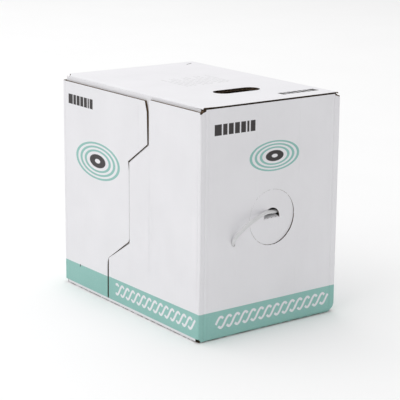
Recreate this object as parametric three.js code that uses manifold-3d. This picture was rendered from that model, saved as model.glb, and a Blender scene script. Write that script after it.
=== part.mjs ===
// A pull-out cable carton: a corrugated box with a reel of network cable that turns inside it.
// Millimetres, +Z up. The origin is the middle of the bottom; the front, with the cable exit, faces -Y.
import * as THREE from 'three';
import { mergeVertices } from 'three/addons/utils/BufferGeometryUtils.js';
import Module from 'manifold-3d';

const wasm = await Module();
wasm.setup();

// Driving dimensions of the carton.
const WIDTH = 268;
const DEPTH = 382;
const HEIGHT = 356;
const BOARD = 4;
const GAP = 0.3;
const MITRE = GAP / Math.SQRT2; // what each board gives up at a 45 degree crease to leave GAP
const FRONT = -DEPTH / 2;
const FRONT_INSIDE = FRONT + BOARD;

// Side closures: inner flaps hang behind outer flaps that meet along a stepped seam.
const INNER_SIDE = WIDTH / 2 - BOARD - GAP; // the outside of the inner flaps
const INNER_FLAP_LENGTH = 130;
const INNER_FLAP_WIDTH = DEPTH - 2 * BOARD - 3;
const OUTER_FLAP_FOOT = 6;
const FRONT_FLAP_TOP = 351.5;
const REAR_FLAP_TOP = 348.5;
const GLUE_TAB_DEPTH = 38;

// The seam, as distance back from the front and height, down the edge of each outer flap.
const FRONT_FLAP_EDGE = [
  [133.8, FRONT_FLAP_TOP], [133.8, 278.3], [186.5, 242.6], [186.2, 111.8], [246.7, 73.8],
  [246.7, OUTER_FLAP_FOOT],
];
const REAR_FLAP_EDGE = [
  [140.7, REAR_FLAP_TOP], [137.3, 329.6], [136.6, 279.8], [189.5, 244.1], [187.1, 228.7],
  [186.8, 119.7], [188.7, 113.3], [247.5, 75.3], [250.2, 67.8], [250.2, OUTER_FLAP_FOOT],
];

// Cable exit in the front: a knock-out disc with a half-moon opening and its folded tab.
const DISC = { x: 1.55, z: 175.2, radius: 43.4 };
const EXIT = { x: 1.25, z: 175, radius: 15 };
const TAB_AXIS = { inset: BOARD / 2, drop: BOARD / 2, clearance: 5 };
const TAB_RISE = 20; // degrees above level at which the pushed-in tab rests

// Hand hole in the top, with its flap folded in along the front long edge.
const HAND_HOLE = { x: 6.75, y: -93.3, length: 84, width: 32 };

// The cradle that carries the axle.
const AXLE_Z = 180;
const AXLE_DIAMETER = 25.4;
const AXLE_BORE = 21;
const WALL_OUTSIDE = INNER_SIDE - BOARD - GAP;
const WALL_TOP = 300;
const WALL_SHOULDER = 205;
const CAP = { diameter: 60, thickness: 3, plug: 20 };

// The reel.
const TRAVERSE = 214;
const FLANGE_DIAMETER = 330;
const FLANGE_THICKNESS = 6;
const BARREL_DIAMETER = 110;
const BARREL_WALL = 4;
const WINDING_DIAMETER = 280;
const BUSHING = { diameter: 33.4, collar: 50, collarThickness: 2.5 };
const ROD = { diameter: 6, circle: 88, count: 4 };
const NUT = { acrossFlats: 10, thickness: 4 };
const FLANGE_FACE = TRAVERSE / 2 + FLANGE_THICKNESS;

// The cable, and its route outside the front and on to the winding.
const CABLE_DIAMETER = 6.1;
const CABLE_CLEARANCE = 0.4;
const LOOP_ROUTE = [
  [7, -187, 182.3], [-7.7, -192, 184.2], [-22.2, -197.6, 183.6], [-36.6, -202.7, 181.1],
  [-51.5, -205.9, 176.9], [-64.2, -204.9, 168.5], [-71.9, -199.3, 158.4], [-73.3, -193, 148.4],
  [-68.4, -185, 135.7], [-61, -180.3, 124.2], [-54.9, -176, 112],
];
const LEAD_ROUTE = [
  [7.28, -186.9, 182.26], [18.9, -182.2, 180.9], [29.4, -172.8, 181.2], [37, -160.5, 185.6],
  [41.5, -149, 196], [43, -141.3, 211], [43.3, -136.8, 226],
];

const LINER_WHITE = 0xe8e8ea;
const KRAFT = 0xb08a5c;
const colours = {
  carton: { color: LINER_WHITE, roughness: 0.8, metalness: 0 },
  kraft: { color: KRAFT, roughness: 0.9, metalness: 0 },
  fibreboard: { color: 0x9c7a52, roughness: 0.85, metalness: 0 },
  steel: { color: 0xb9bcc0, roughness: 0.35, metalness: 1 },
  plastic: { color: 0x2b2c2e, roughness: 0.5, metalness: 0 },
  jacket: { color: 0xe3e3e6, roughness: 0.4, metalness: 0 },
};

const group = new THREE.Group();

function solidOf(geometry) {
  const bare = geometry.clone();
  bare.deleteAttribute('normal');
  bare.deleteAttribute('uv');
  const merged = mergeVertices(bare, 1e-4);
  const vertProperties = new Float32Array(merged.attributes.position.array);
  const triVerts = new Uint32Array(merged.index.array);
  return new wasm.Manifold(new wasm.Mesh({ numProp: 3, vertProperties, triVerts }));
}

function geometryOf(solid) {
  const { vertProperties, triVerts } = solid.getMesh();
  const geometry = new THREE.BufferGeometry();
  geometry.setAttribute('position', new THREE.BufferAttribute(vertProperties, 3));
  geometry.setIndex(new THREE.BufferAttribute(triVerts, 1));
  return geometry;
}

function without(geometry, ...cutters) {
  return geometryOf(cutters.reduce((left, cutter) => left.subtract(solidOf(cutter)), solidOf(geometry)));
}

function common(geometry, other) {
  return geometryOf(solidOf(geometry).intersect(solidOf(other)));
}

function place(name, geometry, colour, parent = group) {
  const mesh = new THREE.Mesh(geometry, new THREE.MeshStandardMaterial(colour));
  mesh.name = name;
  parent.add(mesh);
  return mesh;
}

// A board standing in its local XY plane, outer face at z = 0 and thickness behind it. Each named
// edge is folded: the outer face stops short of the corner line and the inner face is mitred.
function board(left, right, bottom, top, folds = []) {
  const geometry = new THREE.BoxGeometry(right - left, top - bottom, BOARD);
  geometry.translate((left + right) / 2, (bottom + top) / 2, -BOARD / 2);
  const corners = geometry.attributes.position;
  for (let i = 0; i < corners.count; i += 1) {
    const fold = MITRE + (corners.getZ(i) < -BOARD / 2 ? BOARD : 0);
    const isLeft = corners.getX(i) < (left + right) / 2;
    const isLow = corners.getY(i) < (bottom + top) / 2;
    const sideways = folds.includes(isLeft ? 'left' : 'right') ? fold : 0;
    const upright = folds.includes(isLow ? 'bottom' : 'top') ? fold : 0;
    corners.setX(i, corners.getX(i) + (isLeft ? sideways : -sideways));
    corners.setY(i, corners.getY(i) + (isLow ? upright : -upright));
  }
  return geometry;
}

// A closed outline pushed back through the board and a little past both of its faces.
function cutter(shape, segments = 24) {
  const geometry = new THREE.ExtrudeGeometry(shape, {
    depth: BOARD + 2, bevelEnabled: false, curveSegments: segments,
  });
  return geometry.translate(0, 0, -BOARD - 1);
}

function flatPiece(shape, thickness, segments = 24) {
  return new THREE.ExtrudeGeometry(shape, {
    depth: thickness, bevelEnabled: false, curveSegments: segments,
  });
}

function circle(x, y, radius) {
  return new THREE.Shape().absarc(x, y, radius, 0, 2 * Math.PI, false);
}

function halfMoon(x, y, radius) {
  return new THREE.Shape().absarc(x, y, radius, 0, Math.PI, false);
}

function obround(x, y, length, width) {
  const reach = (length - width) / 2;
  const shape = new THREE.Shape();
  shape.absarc(x + reach, y, width / 2, -Math.PI / 2, Math.PI / 2, false);
  shape.absarc(x - reach, y, width / 2, Math.PI / 2, 1.5 * Math.PI, false);
  return shape;
}

// A ring or disc whose axis is X, from x = start towards +X.
function ringAlongX(start, length, outer, inner = 0, segments = 32) {
  const shape = circle(0, 0, outer / 2);
  if (inner > 0) shape.holes.push(circle(0, 0, inner / 2));
  const geometry = flatPiece(shape, length, segments);
  return geometry.rotateY(Math.PI / 2).translate(start, 0, 0);
}

function route(points) {
  return new THREE.CatmullRomCurve3(points.map((point) => new THREE.Vector3(...point)));
}

function tube(points, radius, sides, steps) {
  const section = new THREE.Shape();
  for (let i = 0; i < sides; i += 1) {
    const angle = (2 * Math.PI * i) / sides;
    const corner = [radius * Math.cos(angle), radius * Math.sin(angle)];
    if (i === 0) section.moveTo(...corner);
    else section.lineTo(...corner);
  }
  section.closePath();
  return new THREE.ExtrudeGeometry(section, { steps, bevelEnabled: false, extrudePath: route(points) });
}

// A wall is a group turned about Z, so that its boards stand in local XY and face outwards.
function wall(turn, distance) {
  const turned = new THREE.Group();
  turned.rotation.z = THREE.MathUtils.degToRad(turn);
  const upright = new THREE.Group();
  upright.rotation.x = Math.PI / 2;
  upright.position.y = -distance;
  turned.add(upright);
  group.add(turned);
  return upright;
}

const frontWall = wall(0, DEPTH / 2);
const backWall = wall(180, DEPTH / 2);
const sides = [
  { name: 'left', turn: -90, mirror: 1, sign: -1 },
  { name: 'right', turn: 90, mirror: -1, sign: 1 },
];

// Front, with the round knock-out opening and the slit that grips the cable's end.
const cableWay = tube([LEAD_ROUTE[1], ...LOOP_ROUTE], CABLE_DIAMETER / 2 + CABLE_CLEARANCE, 12, 44);
const cableWayInWall = cableWay.clone().translate(0, DEPTH / 2, 0).rotateX(-Math.PI / 2);
const underTop = HEIGHT - BOARD - GAP;

function addFront() {
  const blank = board(-WIDTH / 2, WIDTH / 2, 0, underTop, ['left', 'right', 'bottom']);
  const opening = cutter(circle(DISC.x, DISC.z, DISC.radius), 32);
  place('front_panel', without(blank, opening, cableWayInWall), colours.carton, frontWall);

  const disc = flatPiece(circle(DISC.x, DISC.z, DISC.radius - GAP), BOARD, 32).translate(0, 0, -BOARD);
  const exit = cutter(halfMoon(EXIT.x, EXIT.z, EXIT.radius), 16);
  place('exit_disc', without(disc, exit, cableWayInWall), colours.carton, frontWall);

  const reach = INNER_SIDE - BOARD - GAP;
  const tab = new THREE.BoxGeometry(2 * reach, GLUE_TAB_DEPTH, BOARD);
  const tabMesh = place('glue_tab', tab, colours.carton);
  tabMesh.position.set(0, FRONT_INSIDE + GAP + GLUE_TAB_DEPTH / 2, underTop - BOARD / 2);
}

// The half-moon is folded in along its chord and slopes up under the cable, its outer face on top.
function addExitTab() {
  const outline = halfMoon(0, TAB_AXIS.inset, EXIT.radius - GAP);
  const tab = flatPiece(outline, BOARD, 16).translate(0, 0, TAB_AXIS.drop - BOARD);
  const creased = new THREE.BoxGeometry(3 * EXIT.radius, 2 * TAB_AXIS.clearance, 3 * BOARD);
  const mesh = place('exit_tab', without(tab, creased), colours.carton);
  mesh.position.set(EXIT.x, FRONT + TAB_AXIS.inset, EXIT.z - TAB_AXIS.drop);
  mesh.rotation.x = THREE.MathUtils.degToRad(TAB_RISE);
}

function addBack() {
  const blank = board(-WIDTH / 2, WIDTH / 2, 0, HEIGHT, ['left', 'right', 'bottom', 'top']);
  place('back_panel', blank, colours.carton, backWall);
}

function addTopAndBottom() {
  const top = board(-INNER_SIDE, INNER_SIDE, FRONT, -FRONT, ['left', 'right', 'top']);
  const hole = cutter(obround(HAND_HOLE.x, HAND_HOLE.y, HAND_HOLE.length, HAND_HOLE.width));
  place('top_panel', without(top, hole), colours.carton).position.z = HEIGHT;

  const bottom = board(-INNER_SIDE, INNER_SIDE, FRONT, -FRONT, ['left', 'right', 'bottom', 'top']);
  place('bottom_panel', bottom, colours.carton).rotation.x = Math.PI;
}

// The hand-hole flap hangs from the underside of the top, folded in along the hole's front edge.
function addHandHoleFlap() {
  const { x, y, length, width } = HAND_HOLE;
  const outline = obround(0, width / 2, length - 2 * GAP, width - 2 * GAP);
  const straight = length - width;
  const hinged = new THREE.BoxGeometry(straight, width, BOARD).translate(0, width / 2 + GAP, BOARD / 2);
  const flap = geometryOf(solidOf(flatPiece(outline, BOARD, 12)).add(solidOf(hinged)));
  const ends = new THREE.BoxGeometry(length, GAP * 2, 3 * BOARD);
  const over = new THREE.BoxGeometry(length, width, 3 * BOARD).translate(0, 1.5 * width - GAP, 0);
  const mesh = place('hand_hole_flap', without(flap, ends, over), colours.carton);
  mesh.position.set(x, y - width / 2, HEIGHT - BOARD);
  mesh.rotation.x = -Math.PI / 2;
}

// Each side: inner flaps from the top and bottom, then the two outer flaps over them.
function addSide({ name, turn, mirror }) {
  const inner = wall(turn, INNER_SIDE);
  const half = INNER_FLAP_WIDTH / 2;
  const hanging = board(-half, half, HEIGHT - INNER_FLAP_LENGTH, HEIGHT, ['top']);
  const standing = board(-half, half, 0, INNER_FLAP_LENGTH, ['bottom']);
  place(`inner_top_flap_${name}`, hanging, colours.carton, inner);
  place(`inner_bottom_flap_${name}`, standing, colours.carton, inner);

  const outer = wall(turn, WIDTH / 2);
  const across = (back) => mirror * (DEPTH / 2 - back);
  const blank = board(-DEPTH / 2, DEPTH / 2, 0, HEIGHT, ['left', 'right']);
  for (const [end, edge, hinge, top] of [
    ['front', FRONT_FLAP_EDGE, 0, FRONT_FLAP_TOP],
    ['rear', REAR_FLAP_EDGE, DEPTH, REAR_FLAP_TOP],
  ]) {
    const outline = [...edge, [hinge, OUTER_FLAP_FOOT], [hinge, top]];
    const shape = new THREE.Shape(outline.map(([back, height]) => new THREE.Vector2(across(back), height)));
    place(`outer_${end}_flap_${name}`, common(blank, cutter(shape)), colours.carton, outer);
  }
}

// The cradle: a floor board between two walls that carry the axle tube.
function addCradle() {
  const halfDepth = DEPTH / 2 - BOARD - 0.5;
  const floorTop = 2 * BOARD + GAP;
  const between = WALL_OUTSIDE - BOARD - GAP;
  const floor = new THREE.BoxGeometry(2 * between, 2 * halfDepth, BOARD);
  place('cradle_floor', floor, colours.kraft).position.z = floorTop - BOARD / 2;

  for (const { name, sign } of sides) {
    const shape = new THREE.Shape();
    shape.moveTo(-halfDepth, BOARD + GAP);
    shape.lineTo(halfDepth, BOARD + GAP);
    shape.lineTo(halfDepth, WALL_SHOULDER);
    shape.lineTo(halfDepth / 2, WALL_TOP);
    shape.lineTo(-halfDepth / 2, WALL_TOP);
    shape.lineTo(-halfDepth, WALL_SHOULDER);
    shape.closePath();
    shape.holes.push(circle(0, AXLE_Z, AXLE_DIAMETER / 2 + GAP));
    const mesh = place(`cradle_wall_${name}`, flatPiece(shape, BOARD), colours.kraft);
    mesh.rotation.set(Math.PI / 2, Math.PI / 2, 0);
    mesh.position.x = sign < 0 ? -WALL_OUTSIDE : WALL_OUTSIDE - BOARD;
  }
}

function addAxle() {
  const axle = new THREE.Group();
  axle.position.z = AXLE_Z;
  group.add(axle);
  const tubing = ringAlongX(-WALL_OUTSIDE, 2 * WALL_OUTSIDE, AXLE_DIAMETER, AXLE_BORE, 20);
  place('axle_tube', tubing, colours.steel, axle);
  for (const { name, sign } of sides) {
    const profile = [
      [0, -CAP.plug], [AXLE_BORE / 2 - GAP, -CAP.plug], [AXLE_BORE / 2 - GAP, GAP],
      [CAP.diameter / 2, GAP], [CAP.diameter / 2, GAP + CAP.thickness], [0, GAP + CAP.thickness],
    ];
    const cap = new THREE.LatheGeometry(profile.map((point) => new THREE.Vector2(...point)), 40);
    const mesh = place(`axle_cap_${name}`, cap, colours.plastic, axle);
    mesh.rotation.z = (-sign * Math.PI) / 2;
    mesh.position.x = sign * WALL_OUTSIDE;
  }
}

function addReel() {
  const reel = new THREE.Group();
  reel.position.z = AXLE_Z;
  group.add(reel);
  const inside = TRAVERSE / 2;
  const rodAngle = (index) => ((index + 0.5) * 2 * Math.PI) / ROD.count;
  const rodPlace = (index) => [
    (ROD.circle / 2) * Math.cos(rodAngle(index)),
    (ROD.circle / 2) * Math.sin(rodAngle(index)),
  ];

  for (const { name, sign } of sides) {
    const shape = circle(0, 0, FLANGE_DIAMETER / 2);
    shape.holes.push(circle(0, 0, BUSHING.diameter / 2 + GAP));
    for (let i = 0; i < ROD.count; i += 1) {
      shape.holes.push(circle(...rodPlace(i), ROD.diameter / 2 + GAP));
    }
    const flange = flatPiece(shape, FLANGE_THICKNESS, 36).rotateY(Math.PI / 2);
    place(`reel_flange_${name}`, flange, colours.fibreboard, reel).position.x =
      sign < 0 ? -FLANGE_FACE : inside;

    const bore = AXLE_DIAMETER / 2 + GAP;
    const profile = [
      [bore, 0], [BUSHING.diameter / 2, 0], [BUSHING.diameter / 2, FLANGE_THICKNESS + GAP],
      [BUSHING.collar / 2, FLANGE_THICKNESS + GAP],
      [BUSHING.collar / 2, FLANGE_THICKNESS + GAP + BUSHING.collarThickness],
      [bore, FLANGE_THICKNESS + GAP + BUSHING.collarThickness], [bore, 0],
    ];
    const bushing = new THREE.LatheGeometry(profile.map((point) => new THREE.Vector2(...point)), 32);
    const mesh = place(`reel_bushing_${name}`, bushing, colours.plastic, reel);
    mesh.rotation.z = (-sign * Math.PI) / 2;
    mesh.position.x = sign * inside;
  }

  const barrelLength = TRAVERSE - 2 * GAP;
  const barrelBore = BARREL_DIAMETER - 2 * BARREL_WALL;
  const barrel = ringAlongX(-barrelLength / 2, barrelLength, BARREL_DIAMETER, barrelBore);
  place('reel_barrel', barrel, colours.kraft, reel);

  const windingLength = TRAVERSE - 4 * GAP;
  const profile = [
    [BARREL_DIAMETER / 2 + GAP, -windingLength / 2], [WINDING_DIAMETER / 2, -windingLength / 2],
    [WINDING_DIAMETER / 2, windingLength / 2], [BARREL_DIAMETER / 2 + GAP, windingLength / 2],
    [BARREL_DIAMETER / 2 + GAP, -windingLength / 2],
  ];
  const winding = new THREE.LatheGeometry(profile.map((point) => new THREE.Vector2(...point)), 72);
  place('cable_winding', winding, colours.jacket, reel).rotation.z = Math.PI / 2;

  const rodEnd = FLANGE_FACE + GAP + NUT.thickness;
  const hexagon = new THREE.Shape();
  for (let corner = 0; corner < 6; corner += 1) {
    const angle = (corner * Math.PI) / 3;
    const reach = NUT.acrossFlats / Math.sqrt(3);
    hexagon[corner === 0 ? 'moveTo' : 'lineTo'](reach * Math.cos(angle), reach * Math.sin(angle));
  }
  hexagon.closePath();
  hexagon.holes.push(circle(0, 0, ROD.diameter / 2 + GAP));
  for (let i = 0; i < ROD.count; i += 1) {
    const [across, up] = rodPlace(i);
    const rod = ringAlongX(-rodEnd, 2 * rodEnd, ROD.diameter, 0, 8);
    place(`tie_rod_${i + 1}`, rod, colours.steel, reel).position.set(0, up, -across);
    for (const { name, sign } of sides) {
      const nut = flatPiece(hexagon, NUT.thickness, 8).rotateY(Math.PI / 2);
      const mesh = place(`tie_rod_nut_${i + 1}_${name}`, nut, colours.steel, reel);
      mesh.position.set(sign < 0 ? -rodEnd : FLANGE_FACE + GAP, up, -across);
    }
  }
}

// The cable's last turns: off the winding to the exit, then out, over the front and into the slit.
function addCable() {
  place('cable_lead', tube(LEAD_ROUTE, CABLE_DIAMETER / 2, 12, 16), colours.jacket);
  place('cable_loop', tube(LOOP_ROUTE, CABLE_DIAMETER / 2, 12, 40), colours.jacket);
}

addFront();
addExitTab();
addBack();
addTopAndBottom();
addHandHoleFlap();
sides.forEach(addSide);
addCradle();
addAxle();
addReel();
addCable();

export default group;
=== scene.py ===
import math

import bmesh
import bpy
import numpy as np
from mathutils import Matrix, Vector
from mathutils.geometry import delaunay_2d_cdt


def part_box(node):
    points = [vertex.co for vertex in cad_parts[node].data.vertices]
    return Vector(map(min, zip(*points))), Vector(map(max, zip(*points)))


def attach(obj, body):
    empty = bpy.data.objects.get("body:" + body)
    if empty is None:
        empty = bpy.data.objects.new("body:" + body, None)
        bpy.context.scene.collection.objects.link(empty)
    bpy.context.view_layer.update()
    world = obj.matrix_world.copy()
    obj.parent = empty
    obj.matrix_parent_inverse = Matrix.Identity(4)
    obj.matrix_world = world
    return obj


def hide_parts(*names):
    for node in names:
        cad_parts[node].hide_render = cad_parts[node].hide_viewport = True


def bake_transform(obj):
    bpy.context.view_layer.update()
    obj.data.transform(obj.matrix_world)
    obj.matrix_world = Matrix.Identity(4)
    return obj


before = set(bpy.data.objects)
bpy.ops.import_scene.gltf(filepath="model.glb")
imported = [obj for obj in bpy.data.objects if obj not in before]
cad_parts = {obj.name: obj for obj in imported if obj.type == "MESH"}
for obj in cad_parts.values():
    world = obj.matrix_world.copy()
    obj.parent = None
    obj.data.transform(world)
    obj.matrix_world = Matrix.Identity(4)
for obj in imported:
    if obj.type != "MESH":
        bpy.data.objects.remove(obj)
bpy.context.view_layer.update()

MM = 0.001
QUARTER = math.pi / 2
SIDES = ((-1, "left"), (1, "right"))


def box_mm(node):
    """A CAD node's low and high corners in millimetres."""
    return tuple(np.array(corner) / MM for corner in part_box(node))


def span(node, axis):
    """Half of a node's size along an axis, and its middle there."""
    low, high = box_mm(node)
    return (high[axis] - low[axis]) / 2, (high[axis] + low[axis]) / 2


# The carton, in millimetres.
HALF_WIDTH = box_mm("outer_front_flap_right")[1][0]
HALF_DEPTH = -box_mm("front_panel")[0][1]
HEIGHT = box_mm("top_panel")[1][2]
INNER_SIDE = box_mm("inner_top_flap_right")[1][0]
BOARD = 2 * span("cradle_floor", 2)[0]
UNDER_TOP = box_mm("front_panel")[1][2]
FLAP_FOOT = box_mm("outer_front_flap_left")[0][2]
FRONT_FLAP_TOP = box_mm("outer_front_flap_left")[1][2]
REAR_FLAP_TOP = box_mm("outer_rear_flap_left")[1][2]

# Corrugated board: its papers, and the radii its outer liner takes round the creases.
LINER = 0.45
MEDIUM = 0.24
FLUTE_PITCH = 7.7
FLUTE_STEPS = 8
CREASE_RADIUS = 3.0
HINGE_RADIUS = 2.0
TOP_SIDE_RADIUS = 2.6
TOP_REAR_RADIUS = 3.0
FOOT_RADIUS = 2.6
FOOT_RISE = 3.1
SLIT_GAP = 0.03
NOTCH = 4.4
CORNER_RELIEF = 7.0
TORN = (7.0, 8.0)

# The exit, the hand hole and the seam. A flap's edge is given as (distance from the front, height).
DISC_RADIUS, DISC_X = span("exit_disc", 0)
DISC_Z = span("exit_disc", 2)[1]
DISC_GAP = 0.42
NICK_GAP = 0.06
EXIT_X = span("exit_tab", 0)[1]
EXIT_Z = 175.0
EXIT_RADIUS = 15.0
TAB_RISE = 20.0
HAND_HOLE_X = span("hand_hole_flap", 0)[1]
HAND_HOLE_Y = -93.3
HAND_HOLE_LENGTH = 84.0
HAND_HOLE_WIDTH = 32.0
FRONT_FLAP_EDGE = [
    (131.6, FRONT_FLAP_TOP - 2.2), (132.4, 278.9), (186.5, 242.6), (186.2, 111.8), (246.7, 73.8),
    (246.7, FLAP_FOOT),
]
REAR_FLAP_EDGE = [
    (143.5, REAR_FLAP_TOP - 2.4), (138.2, 329.6), (136.6, 279.8), (189.5, 244.1), (187.1, 228.7),
    (186.8, 119.7), (189.2, 113.6), (246.8, 74.2), (249.6, 66.8), (250.2, 60.0), (250.2, FLAP_FOOT),
]

# Knocks and crush lines.
KNOCK_REACH = 12.0
KNOCK = (-4.0, 3.0, 3.8)
BULGE = 2.3
BULGE_HEIGHT = 130.0
SCORE = HALF_WIDTH - 10.2
SCORE_RIDGE = SCORE - 3.3
CORNER_TILT = 0.55
CORNER_TILT_AT_EDGE = 0.45
CORNER_TILT_TOP = 330
FLAP_SCORE = 7.6
GROOVE_FADE = 14.0
FRONT_GROOVES = [
    # u, from, to, depth
    (-28.5, 190, 345, 0.42), (54.0, 215, 345, 0.42), (-97.0, 30, 180, 0.2), (-63.0, 48, 140, 0.5),
    (-33.0, 44, 132, 0.36), (-14.0, 44, 131, 0.42), (51.0, 5, 160, 0.42), (78.0, 5, 190, 0.2),
    (96.0, 5, 260, 0.24),
]
FLAP_GROOVES = {
    "front": [(-62.0, 60, 340, 0.14)],
    "rear": [(-30.0, 266, 344, 0.9), (-40.0, 266, 344, 0.7)],
}

# The cable outside the front and inside to the winding, as in the CAD model, in metres.
CABLE_DIAMETER = 0.0061
LOOP_ROUTE = [
    (0.007, -0.187, 0.1823), (-0.0077, -0.192, 0.1842), (-0.0222, -0.1976, 0.1836),
    (-0.0366, -0.2027, 0.1811), (-0.0515, -0.2059, 0.1769), (-0.0642, -0.2049, 0.1685),
    (-0.0719, -0.1993, 0.1584), (-0.0733, -0.193, 0.1484), (-0.0684, -0.185, 0.1357),
    (-0.061, -0.1803, 0.1242), (-0.0549, -0.176, 0.112),
]
LEAD_ROUTE = [
    (0.00728, -0.1869, 0.18226), (0.0189, -0.1822, 0.1809), (0.0294, -0.1728, 0.1812),
    (0.037, -0.1605, 0.1856), (0.0415, -0.149, 0.196), (0.043, -0.1413, 0.211), (0.0433, -0.1368, 0.226),
]

# Camera: angles in degrees, distance in metres from the carton's middle.
AZIMUTH, ELEVATION, ROLL = -36.392, 13.674, 0.447
CAMERA_DISTANCE = 2.2763
CAMERA_LENS = 126.19
CAMERA_SHIFT = (0.00897, -0.02299)


def link(name, data):
    made = bpy.data.objects.new(name, data)
    bpy.context.scene.collection.objects.link(made)
    return made


def add_camera():
    """From the front left, a little above, with a long lens."""
    azimuth, elevation, roll = (math.radians(a) for a in (AZIMUTH, ELEVATION, ROLL))
    middle = Vector((0, 0, HEIGHT * MM / 2))
    back = Vector((
        math.sin(azimuth) * math.cos(elevation),
        -math.cos(azimuth) * math.cos(elevation),
        math.sin(elevation),
    ))
    data = bpy.data.cameras.new("camera")
    data.sensor_width = 36
    data.lens = CAMERA_LENS
    data.shift_x, data.shift_y = CAMERA_SHIFT
    data.clip_start = 0.05
    camera = link("camera", data)
    turn = back.to_track_quat("Z", "Y").to_matrix().to_4x4()
    place = Matrix.Translation(middle + back * CAMERA_DISTANCE)
    camera.matrix_world = place @ turn @ Matrix.Rotation(roll, 4, "Z")
    bpy.context.scene.camera = camera


add_camera()


# ---------------------------------------------------------------- materials



class Shader:
    """A material's node tree, built a node at a time."""

    def __init__(self, name):
        self.material = bpy.data.materials.new(name)
        self.material.use_nodes = True
        self.tree = self.material.node_tree
        self.tree.nodes.clear()
        self.out = self.tree.nodes.new("ShaderNodeOutputMaterial")
        self.bsdf = self.tree.nodes.new("ShaderNodeBsdfPrincipled")
        self.tree.links.new(self.bsdf.outputs[0], self.out.inputs[0])
        self.place = self.tree.nodes.new("ShaderNodeTexCoord").outputs["Object"]
        self.split = self.node("ShaderNodeSeparateXYZ", Vector=self.place)

    def node(self, kind, settings=None, **inputs):
        made = self.tree.nodes.new(kind)
        for key, value in (settings or {}).items():
            setattr(made, key, value)
        for key, value in inputs.items():
            self.feed(made, key.replace("_", " "), value)
        return made

    def feed(self, node, socket, value):
        numbered = socket[0] == "i" and socket[1:].isdigit()
        socket = node.inputs[int(socket[1:]) if numbered else socket]
        if isinstance(value, bpy.types.NodeSocket):
            self.tree.links.new(value, socket)
        else:
            socket.default_value = value

    def math(self, operation, *values):
        made = self.node("ShaderNodeMath", {"operation": operation})
        for index, value in enumerate(values):
            self.feed(made, f"i{index}", value)
        return made.outputs[0]

    def noise(self, scale, detail=2.0, roughness=0.5, stretch=None):
        vector = self.place
        if stretch:
            vector = self.node("ShaderNodeMapping", Vector=self.place, Scale=stretch).outputs[0]
        made = self.node("ShaderNodeTexNoise", Vector=vector, Scale=scale, Detail=detail, Roughness=roughness)
        return made.outputs["Fac"]

    def ramp(self, value, low, high, start=0.0, end=1.0):
        made = self.node("ShaderNodeMapRange", {"clamp": True}, Value=value)
        for name, number in (("From Min", low), ("From Max", high), ("To Min", start), ("To Max", end)):
            made.inputs[name].default_value = number
        return made.outputs[0]

    def blend(self, share, first, second):
        made = self.node("ShaderNodeMix", {"data_type": "RGBA"})
        self.feed(made, "i0", share)
        self.feed(made, "i6", first)
        self.feed(made, "i7", second)
        return made.outputs[2]

    def bump(self, height, distance, strength=1.0, below=None):
        made = self.node("ShaderNodeBump", Height=height, Distance=distance, Strength=strength)
        if below is not None:
            self.tree.links.new(below, made.inputs["Normal"])
        return made.outputs[0]

    def finish(self, colour, roughness, normal=None, **extra):
        self.feed(self.bsdf, "Base Color", colour)
        self.feed(self.bsdf, "Roughness", roughness)
        if normal is not None:
            self.feed(self.bsdf, "Normal", normal)
        for key, value in extra.items():
            self.feed(self.bsdf, key.replace("_", " "), value)
        return self.material


def grey(level, tint=0.0):
    return (level, level, level * (1 + tint), 1)


def washboard(shader, across):
    """The flutes telegraphing through the liner as shallow ripples; across is 0 for x, 1 for y, 2 for z."""
    phase = shader.math("MULTIPLY", shader.split.outputs[across], 2 * math.pi / (FLUTE_PITCH * MM))
    wave = shader.math("SINE", phase)
    strength = shader.ramp(shader.noise(9.0, 1.0), 0.35, 0.7, 0.25, 1.0)
    return shader.math("MULTIPLY", wave, strength)


def worn_edges(shader):
    """1 where the bottom creases have rubbed through to the brown paper, in broken dashes."""
    low = shader.ramp(shader.split.outputs[2], 0.0009, 0.0021, 1.0, 0.0)
    patchy = shader.ramp(shader.noise(120.0, 3.0, 0.6), 0.44, 0.52)
    return shader.math("MULTIPLY", low, patchy)


KRAFT = (0.34, 0.225, 0.125, 1)
WORN = (0.1, 0.07, 0.058, 1)


def printed_board(name, colour, across, roughness, ink=0.0):
    """White clay-coated liner, or ink printed on it, on a board whose ripples run across that axis."""
    s = Shader(name)
    cloud = s.ramp(s.noise(14.0, 3.0), 0.3, 0.7)
    fibre = s.noise(900.0, 4.0, 0.7)
    darker = tuple(c * 0.965 for c in colour[:3]) + (1,)
    base = s.blend(cloud, colour, darker)
    if ink:
        # Flexo ink is a little thin along the flute tips and in specks.
        speck = s.ramp(s.noise(1500.0, 2.0), 0.6, 0.74, 0.0, ink)
        base = s.blend(speck, base, grey(0.8))
    grime = s.math("MULTIPLY", s.ramp(s.noise(26.0, 5.0, 0.65), 0.6, 0.82), 0.05)
    base = s.blend(grime, base, (0.5, 0.48, 0.46, 1))
    base = s.blend(worn_edges(s), base, WORN)
    ripples = s.bump(washboard(s, across), 0.00011, 0.45)
    fine = s.bump(fibre, 0.00002, 0.5, ripples)
    rough = s.ramp(cloud, 0.0, 1.0, roughness, roughness + 0.08)
    return s.finish(base, rough, fine, Specular_IOR_Level=0.35)


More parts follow.
